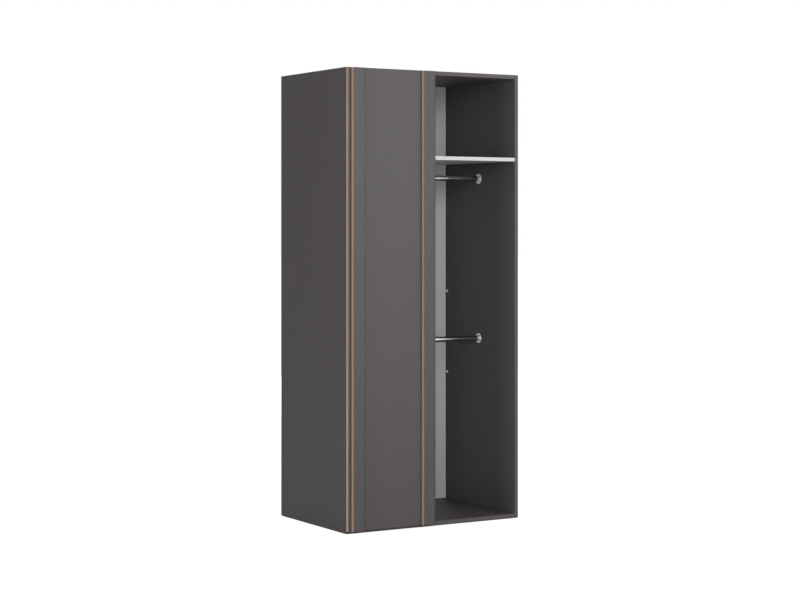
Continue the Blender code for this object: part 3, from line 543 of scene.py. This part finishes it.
def screw_mesh(head_radius, head_height, shank_radius, length, name):
    """A raised-head screw with a cross recess and ridges for its thread."""
    profile = [(0, head_height), (head_radius * 0.45, head_height * 0.97),
               (head_radius * 0.80, head_height * 0.78), (head_radius, head_height * 0.45),
               (head_radius, 0.0), (shank_radius, 0.0)]
    for turn in range(int(length / THREAD_PITCH)):
        root = -(turn + 0.25) * THREAD_PITCH
        profile += [(shank_radius * 0.74, root), (shank_radius, root - THREAD_RISE)]
    profile += [(shank_radius * 0.6, -length + SCREW_TIP), (0, -length)]
    body = turned(profile, SCREW_SIDES, name)
    cross = recess(head_radius * 0.58, head_radius * 0.22, head_height * 0.6, head_height)
    return baked(body, cross)


def cam_mesh():
    """A cam: a cap with a cross recess and a skirt. The skirt is open to +X, where its bolt is."""
    bevel, overlap = 0.0004, 0.0001
    shape = bmesh.new()
    rings = [ring(shape, radius, height, CAM_SIDES) for radius, height in
             ((CAM_RADIUS - bevel, 0.0), (CAM_RADIUS, -bevel), (CAM_RADIUS, -CAM_CAP))]
    shape.faces.new(rings[0])
    shape.faces.new(list(reversed(rings[-1])))
    bridge(shape, list(reversed(rings)), CAM_SIDES)
    cross = recess(CAM_RADIUS * 0.62, width=0.0016, depth=0.0018, top=0.0)
    cap = baked(mesh_from(shape, "cap"), cross)

    skirt = bmesh.new()
    skirt.from_mesh(cap)
    top = -CAM_CAP + overlap
    section = [(CAM_SKIRT_INSIDE, top), (CAM_RADIUS, top),
               (CAM_RADIUS, -CAM_SKIRT), (CAM_SKIRT_INSIDE, -CAM_SKIRT)]
    columns = []
    for step in range(CAM_SKIRT_STEPS + 1):
        angle = CAM_OPENING + (2 * pi - 2 * CAM_OPENING) * step / CAM_SKIRT_STEPS
        columns.append([skirt.verts.new((radius * cos(angle), radius * sin(angle), height))
                        for radius, height in section])
    bridge(skirt, columns, len(section))
    skirt.faces.new(columns[0])
    skirt.faces.new(list(reversed(columns[-1])))
    bmesh.ops.recalc_face_normals(skirt, faces=skirt.faces)
    return mesh_from(skirt, "cam")


def rod_mesh():
    """A tube about Z with softened rims, open at both ends, as long as the flanges let it be."""
    soft = 0.0003
    half = INNER_SIDE - FLANGE_PLATE / 2 - ROD_PLAY
    inside = ROD_RADIUS - ROD_WALL
    section = [(ROD_RADIUS, half - soft), (ROD_RADIUS, soft - half),
               (ROD_RADIUS - soft, -half), (inside + soft, -half),
               (inside, soft - half), (inside, half - soft),
               (inside + soft, half), (ROD_RADIUS - soft, half)]
    shape = bmesh.new()
    rings = [ring(shape, radius, height, ROD_SIDES) for radius, height in section]
    bridge(shape, rings + rings[:1], ROD_SIDES)
    bmesh.ops.recalc_face_normals(shape, faces=shape.faces)
    return mesh_from(shape, "tube")


def flange_mesh():
    """A round flange with a soft shoulder, a socket for the rod and screw holes."""
    soft = 0.0003
    bore = ROD_RADIUS + soft
    floor_height = FLANGE_PLATE / 2
    lip = FLANGE_PLATE / 3
    profile = [(0, floor_height), (bore, floor_height),
               (bore, SOCKET_DEPTH - 2 * soft), (bore + 2 * soft, SOCKET_DEPTH),
               (SOCKET_RADIUS - 2 * soft, SOCKET_DEPTH),
               (SOCKET_RADIUS - soft * 2 / 3, SOCKET_DEPTH - soft),
               (SOCKET_RADIUS, SOCKET_DEPTH - 3 * soft),
               (SOCKET_RADIUS, FLANGE_PLATE + soft * 8 / 3),
               (SOCKET_RADIUS + soft, FLANGE_PLATE + soft * 2 / 3),
               (SOCKET_RADIUS + 3 * soft, FLANGE_PLATE),
               (FLANGE_RADIUS - lip, FLANGE_PLATE),
               (FLANGE_RADIUS - lip * 0.3, FLANGE_PLATE - lip * 0.3),
               (FLANGE_RADIUS, FLANGE_PLATE - lip), (FLANGE_RADIUS, 0), (0, 0)]
    holes = bmesh.new()
    for index in range(FLANGE_SCREWS):
        angle = 2 * pi * index / FLANGE_SCREWS
        place = Matrix.Translation((FLANGE_SCREW_CIRCLE * sin(angle),
                                    FLANGE_SCREW_CIRCLE * cos(angle), 0))
        bmesh.ops.create_cone(holes, cap_ends=True, segments=FLANGE_HOLE_SIDES,
                              radius1=FLANGE_HOLE_RADIUS, radius2=FLANGE_HOLE_RADIUS,
                              depth=FLANGE_HOLE_DEPTH, matrix=place)
    return baked(turned(profile, FLANGE_SIDES, "flange"), mesh_from(holes, "holes"))


def corner_pin_mesh():
    """A pin with a softened end, a collar against the side panel and a spigot in it."""
    fillet, bevel, crown = 0.0003, 0.0004, 0.0001
    rounding = ((0.70, 0.0), (0.85, 0.04), (0.96, 0.10), (1.0, 0.22))
    end = [(PIN_RADIUS * across, PIN_LENGTH - PIN_RADIUS * down) for across, down in rounding]
    collar = [(PIN_RADIUS, COLLAR_TOP + fillet), (PIN_RADIUS + fillet, COLLAR_TOP),
              (COLLAR_RADIUS - bevel, COLLAR_TOP), (COLLAR_RADIUS - crown, COLLAR_TOP - crown),
              (COLLAR_RADIUS, COLLAR_TOP - bevel), (COLLAR_RADIUS, COLLAR_FOOT)]
    spigot = [(SPIGOT_RADIUS, COLLAR_FOOT), (SPIGOT_RADIUS, -SPIGOT_LENGTH), (0, -SPIGOT_LENGTH)]
    return turned([(0, PIN_LENGTH)] + end + collar + spigot, PIN_SIDES, "corner_pin")


# The pieces in their places

def place_piece(name, mesh, material, body, point, direction, spin=0.0):
    """Puts a copy of a mesh at a point, its +Z along a direction, and lets it ride on a body."""
    piece = bpy.data.objects.new(name, mesh.copy())
    turn = Vector(direction).to_track_quat("Z", "Y").to_matrix().to_4x4()
    piece.data.transform(Matrix.Translation(point) @ turn @ Matrix.Rotation(spin, 4, "Z"))
    piece.data.materials.clear()
    piece.data.materials.append(material)
    piece.data.shade_smooth()
    piece.data.set_sharp_from_angle(angle=CRISP_ANGLE)
    bpy.context.scene.collection.objects.link(piece)
    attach(piece, body)
    return piece


def build_turned_parts():
    """Rods, flanges and corner pins, as round as real ones, where the faceted ones are."""
    tube, flange, pin = rod_mesh(), flange_mesh(), corner_pin_mesh()
    for level, height in ROD_HEIGHTS.items():
        rod = place_piece(f"{level}_chrome_rod", tube, CHROME, "carcass",
                          (0.0, ROD_MIDDLE, height), (1, 0, 0))
        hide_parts(f"{level}_clothes_rod")
        for side, sign in SIDES:
            piece = place_piece(f"{level}_chrome_flange_{side}", flange, CHROME_FLANGE,
                                "carcass",
                                (sign * (INNER_SIDE - FLANGE_GAP), ROD_MIDDLE, height),
                                (-sign, 0, 0))
            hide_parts(f"{level}_rod_flange_{side}")
    for level, height in PIN_HEIGHTS.items():
        for side, sign in SIDES:
            piece = place_piece(f"{level}_plated_pin_{side}", pin, PIN, "carcass",
                                (sign * INNER_SIDE, PIN_MIDDLE, height), (-sign, 0, 0))
            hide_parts(f"{level}_corner_pin_{side}")


def build_cams():
    """Cams in the housings of the top, the bottom and the shelf, each turned to its bolt."""
    cam = cam_mesh()
    boards = {"top": (HEIGHT, 1), "bottom": (UNDERSIDE, -1), "shelf": (SHELF_TOP - SHELF_BOARD, -1)}
    for label, (face, way) in boards.items():
        for side, sign in SIDES:
            for end, setback in CAM_SETBACKS.items():
                upright = Vector((0, 0, way)).to_track_quat("Z", "Y").to_matrix()
                towards = upright.inverted() @ Vector((sign, 0, 0))
                place_piece(f"cam_{label}_{side}_{end}", cam, ZINC, "carcass",
                            (sign * (INNER_SIDE - CAM_DISTANCE), FRONT + setback,
                             face - way * CAM_SINK),
                            (0, 0, way), atan2(towards.y, towards.x))


def build_flange_screws():
    """Three screws in each rod flange, each turned a little further than the one before."""
    screw = screw_mesh(*FLANGE_SCREW, "flange_screw")
    for level, height in ROD_HEIGHTS.items():
        for side, sign in SIDES:
            for index in range(FLANGE_SCREWS):
                angle = pi / 2 + 2 * pi * index / FLANGE_SCREWS
                point = (sign * (INNER_SIDE - FLANGE_FACE - SCREW_SEAT),
                         ROD_MIDDLE + FLANGE_SCREW_CIRCLE * cos(angle),
                         height + FLANGE_SCREW_CIRCLE * sin(angle))
                place_piece(f"flange_screw_{level}_{side}_{index + 1}", screw, CHROME_FLANGE,
                            "carcass", point, (-sign, 0, 0), spin=0.4 * index)


def build_hinge_screws():
    """Screws in the plates, cups and arms of the hinges, turned differently on each hinge."""
    screw = screw_mesh(*HINGE_SCREW, "hinge_screw")
    adjuster = screw_mesh(*ADJUSTER, "adjuster")
    for number, height in enumerate(HINGE_HEIGHTS, 1):
        for end, way in (("low", -1), ("high", 1)):
            place_piece(f"plate_screw_{number}_{end}", screw, NICKEL, "carcass",
                        (INNER_LEFT + PLATE_FACE + SCREW_SEAT, FRONT + PLATE_SCREW_SETBACK,
                         height + way * PLATE_SCREW_SHIFT), (1, 0, 0), spin=0.3 * number)
            place_piece(f"cup_screw_{number}_{end}", screw, NICKEL, "door",
                        (INNER_LEFT + CUP_SCREW_ACROSS, DOOR_BACK + CUP_FACE + SCREW_SEAT,
                         height + way * CUP_SCREW_SHIFT), (0, 1, 0), spin=0.5 * number)
        for end, setback in ADJUSTER_SETBACKS.items():
            place_piece(f"adjuster_{number}_{end}", adjuster, ZINC, "carcass",
                        (INNER_LEFT + ARM_FACE + SCREW_SEAT, FRONT + setback, height),
                        (1, 0, 0), spin=0.7 * number)


build_turned_parts()
build_cams()
build_flange_screws()
build_hinge_screws()


# Floor, light and camera

def inside_footprint(tree, coordinates):
    """A mask: one on the floor under the carcass, fading to nought just outside it."""
    parts = tree.nodes.new("ShaderNodeSeparateXYZ")
    tree.links.new(coordinates, parts.inputs[0])
    middle = maths(tree, "SUBTRACT", parts.outputs["Y"], (FRONT + REAR) / 2, (-800, -500))
    inside = []
    for value, half in ((parts.outputs["X"], HALF_WIDTH), (middle, (REAR - FRONT) / 2)):
        size = maths(tree, "ABSOLUTE", value, 0.0, (-650, -500))
        edge = (half - FOOTPRINT_FADE, half + FOOTPRINT_FADE)
        inside.append(spread(tree, size, edge, (1.0, 0.0), (-500, -500)))
    return maths(tree, "MULTIPLY", inside[0], inside[1], (-350, -500))


def floor():
    """A wide pale floor. The camera sees it lightened, except under the carcass."""
    shape = bmesh.new()
    bmesh.ops.create_grid(shape, x_segments=1, y_segments=1, size=FLOOR_SIZE)
    piece = bpy.data.objects.new("floor", mesh_from(shape, "floor"))
    material = bpy.data.materials.new("floor_pale")
    material.use_nodes = True
    tree = material.node_tree
    shader_input(material, "Base Color").default_value = FLOOR_COLOR
    shader_input(material, "Roughness").default_value = 0.9
    shader_input(material, "Specular IOR Level").default_value = 0.1
    coordinates = tree.nodes.new("ShaderNodeTexCoord").outputs["Object"]
    distance = tree.nodes.new("ShaderNodeVectorMath")
    distance.operation = "LENGTH"
    tree.links.new(coordinates, distance.inputs[0])
    lift = spread(tree, distance.outputs["Value"], FLOOR_LIFT_REACH,
                  (FLOOR_LIFT_NEAR, FLOOR_LIFT_FAR), (-500, -300))
    covered = inside_footprint(tree, coordinates)
    open_floor = maths(tree, "SUBTRACT", 1.0, covered, (-300, -400))
    lifted = maths(tree, "MULTIPLY", lift, open_floor, (-200, -400))
    path = tree.nodes.new("ShaderNodeLightPath")
    seen = maths(tree, "MULTIPLY", lifted, path.outputs["Is Camera Ray"], (-100, -300))
    glow = tree.nodes.new("ShaderNodeEmission")
    tree.links.new(seen, glow.inputs["Strength"])
    total = tree.nodes.new("ShaderNodeAddShader")
    tree.links.new(tree.nodes["Principled BSDF"].outputs["BSDF"], total.inputs[0])
    tree.links.new(glow.outputs["Emission"], total.inputs[1])
    tree.links.new(total.outputs["Shader"], tree.nodes["Material Output"].inputs["Surface"])
    piece.data.materials.append(material)
    bpy.context.scene.collection.objects.link(piece)


def studio_world(strength):
    """Even white light all round, seen as plain white by the camera."""
    world = bpy.data.worlds.new("studio")
    bpy.context.scene.world = world
    world.use_nodes = True
    tree = world.node_tree
    tree.nodes.clear()
    out = tree.nodes.new("ShaderNodeOutputWorld")
    mix = tree.nodes.new("ShaderNodeMixShader")
    path = tree.nodes.new("ShaderNodeLightPath")
    tree.links.new(path.outputs["Is Camera Ray"], mix.inputs["Fac"])
    for socket, power in ((mix.inputs[1], strength), (mix.inputs[2], 1.0)):
        background = tree.nodes.new("ShaderNodeBackground")
        background.inputs["Color"].default_value = WHITE
        background.inputs["Strength"].default_value = power
        tree.links.new(background.outputs[0], socket)
    tree.links.new(mix.outputs[0], out.inputs["Surface"])


def softbox(name, place, target, size, power):
    """A square lamp that looks at a point."""
    lamp = bpy.data.lights.new(name, "AREA")
    lamp.shape = "SQUARE"
    lamp.size = size
    lamp.energy = power
    holder = bpy.data.objects.new(name, lamp)
    holder.location = place
    aim = Vector(target) - Vector(place)
    holder.rotation_euler = aim.to_track_quat("-Z", "Y").to_euler()
    bpy.context.scene.collection.objects.link(holder)


def camera():
    """The photograph's camera: level, with its horizon above the middle of the frame."""
    data = bpy.data.cameras.new("camera")
    data.lens = CAMERA_LENS
    data.sensor_width = CAMERA_SENSOR
    data.shift_y = CAMERA_SHIFT_Y
    data.clip_end = 100.0
    holder = bpy.data.objects.new("camera", data)
    holder.location = CAMERA_PLACE
    holder.rotation_euler = (pi / 2, 0.0, CAMERA_TURN)
    bpy.context.scene.collection.objects.link(holder)
    bpy.context.scene.camera = holder


floor()
studio_world(WORLD_STRENGTH)
for name, lamp in SOFTBOXES.items():
    softbox(name, *lamp)
camera()
bpy.context.scene.view_settings.view_transform = "Standard"
